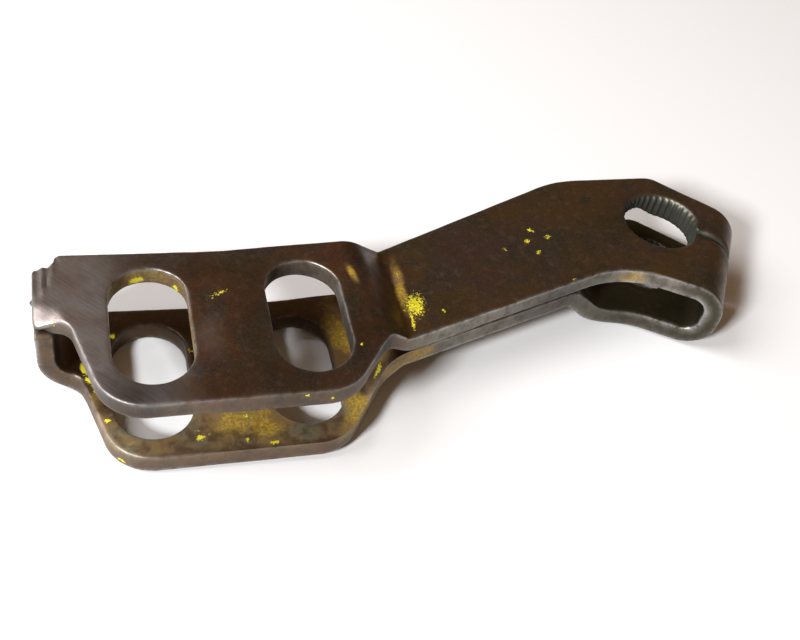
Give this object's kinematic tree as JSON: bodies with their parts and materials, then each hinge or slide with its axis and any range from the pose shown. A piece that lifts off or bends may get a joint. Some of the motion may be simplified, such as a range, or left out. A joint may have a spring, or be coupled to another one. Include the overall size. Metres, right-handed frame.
{
  "type": "drum brake lever",
  "caption": "Folded steel drum brake lever: a split clamp loop with a bore for a serrated cam shaft, a cranked arm, and parallel slotted plates for a brake cable or rod.",
  "frame": {"origin": "cam shaft bore's axis, at the clamp loop's lower face", "axes": "+Z along the bore towards the loop's flat upper face; the slotted plates and their long straight edges lie along X, with the free end at -X; +Y across the lever, towards the crown of the head"},
  "size_m": [0.1334, 0.051, 0.0199],
  "materials": {
    "oiled_steel": "dull, oil-stained, with brighter sheared edges and flecks of yellow paint",
    "weld_metal": "rough weld bead"
  },
  "bodies": {
    "root": {"upper_cable_plate": "oiled_steel", "lower_cable_plate": "oiled_steel", "end_tongue": "oiled_steel", "end_seam_weld": "weld_metal", "upper_neck_bend": "oiled_steel", "lower_neck_bend": "oiled_steel", "upper_arm_layer": "oiled_steel", "lower_arm_layer": "oiled_steel", "upper_clamp_jaw": "oiled_steel", "lower_clamp_jaw": "oiled_steel", "lower_jaw_step": "oiled_steel", "near_fold_half": "oiled_steel", "far_fold_half": "oiled_steel"}
  },
  "joints": []
}
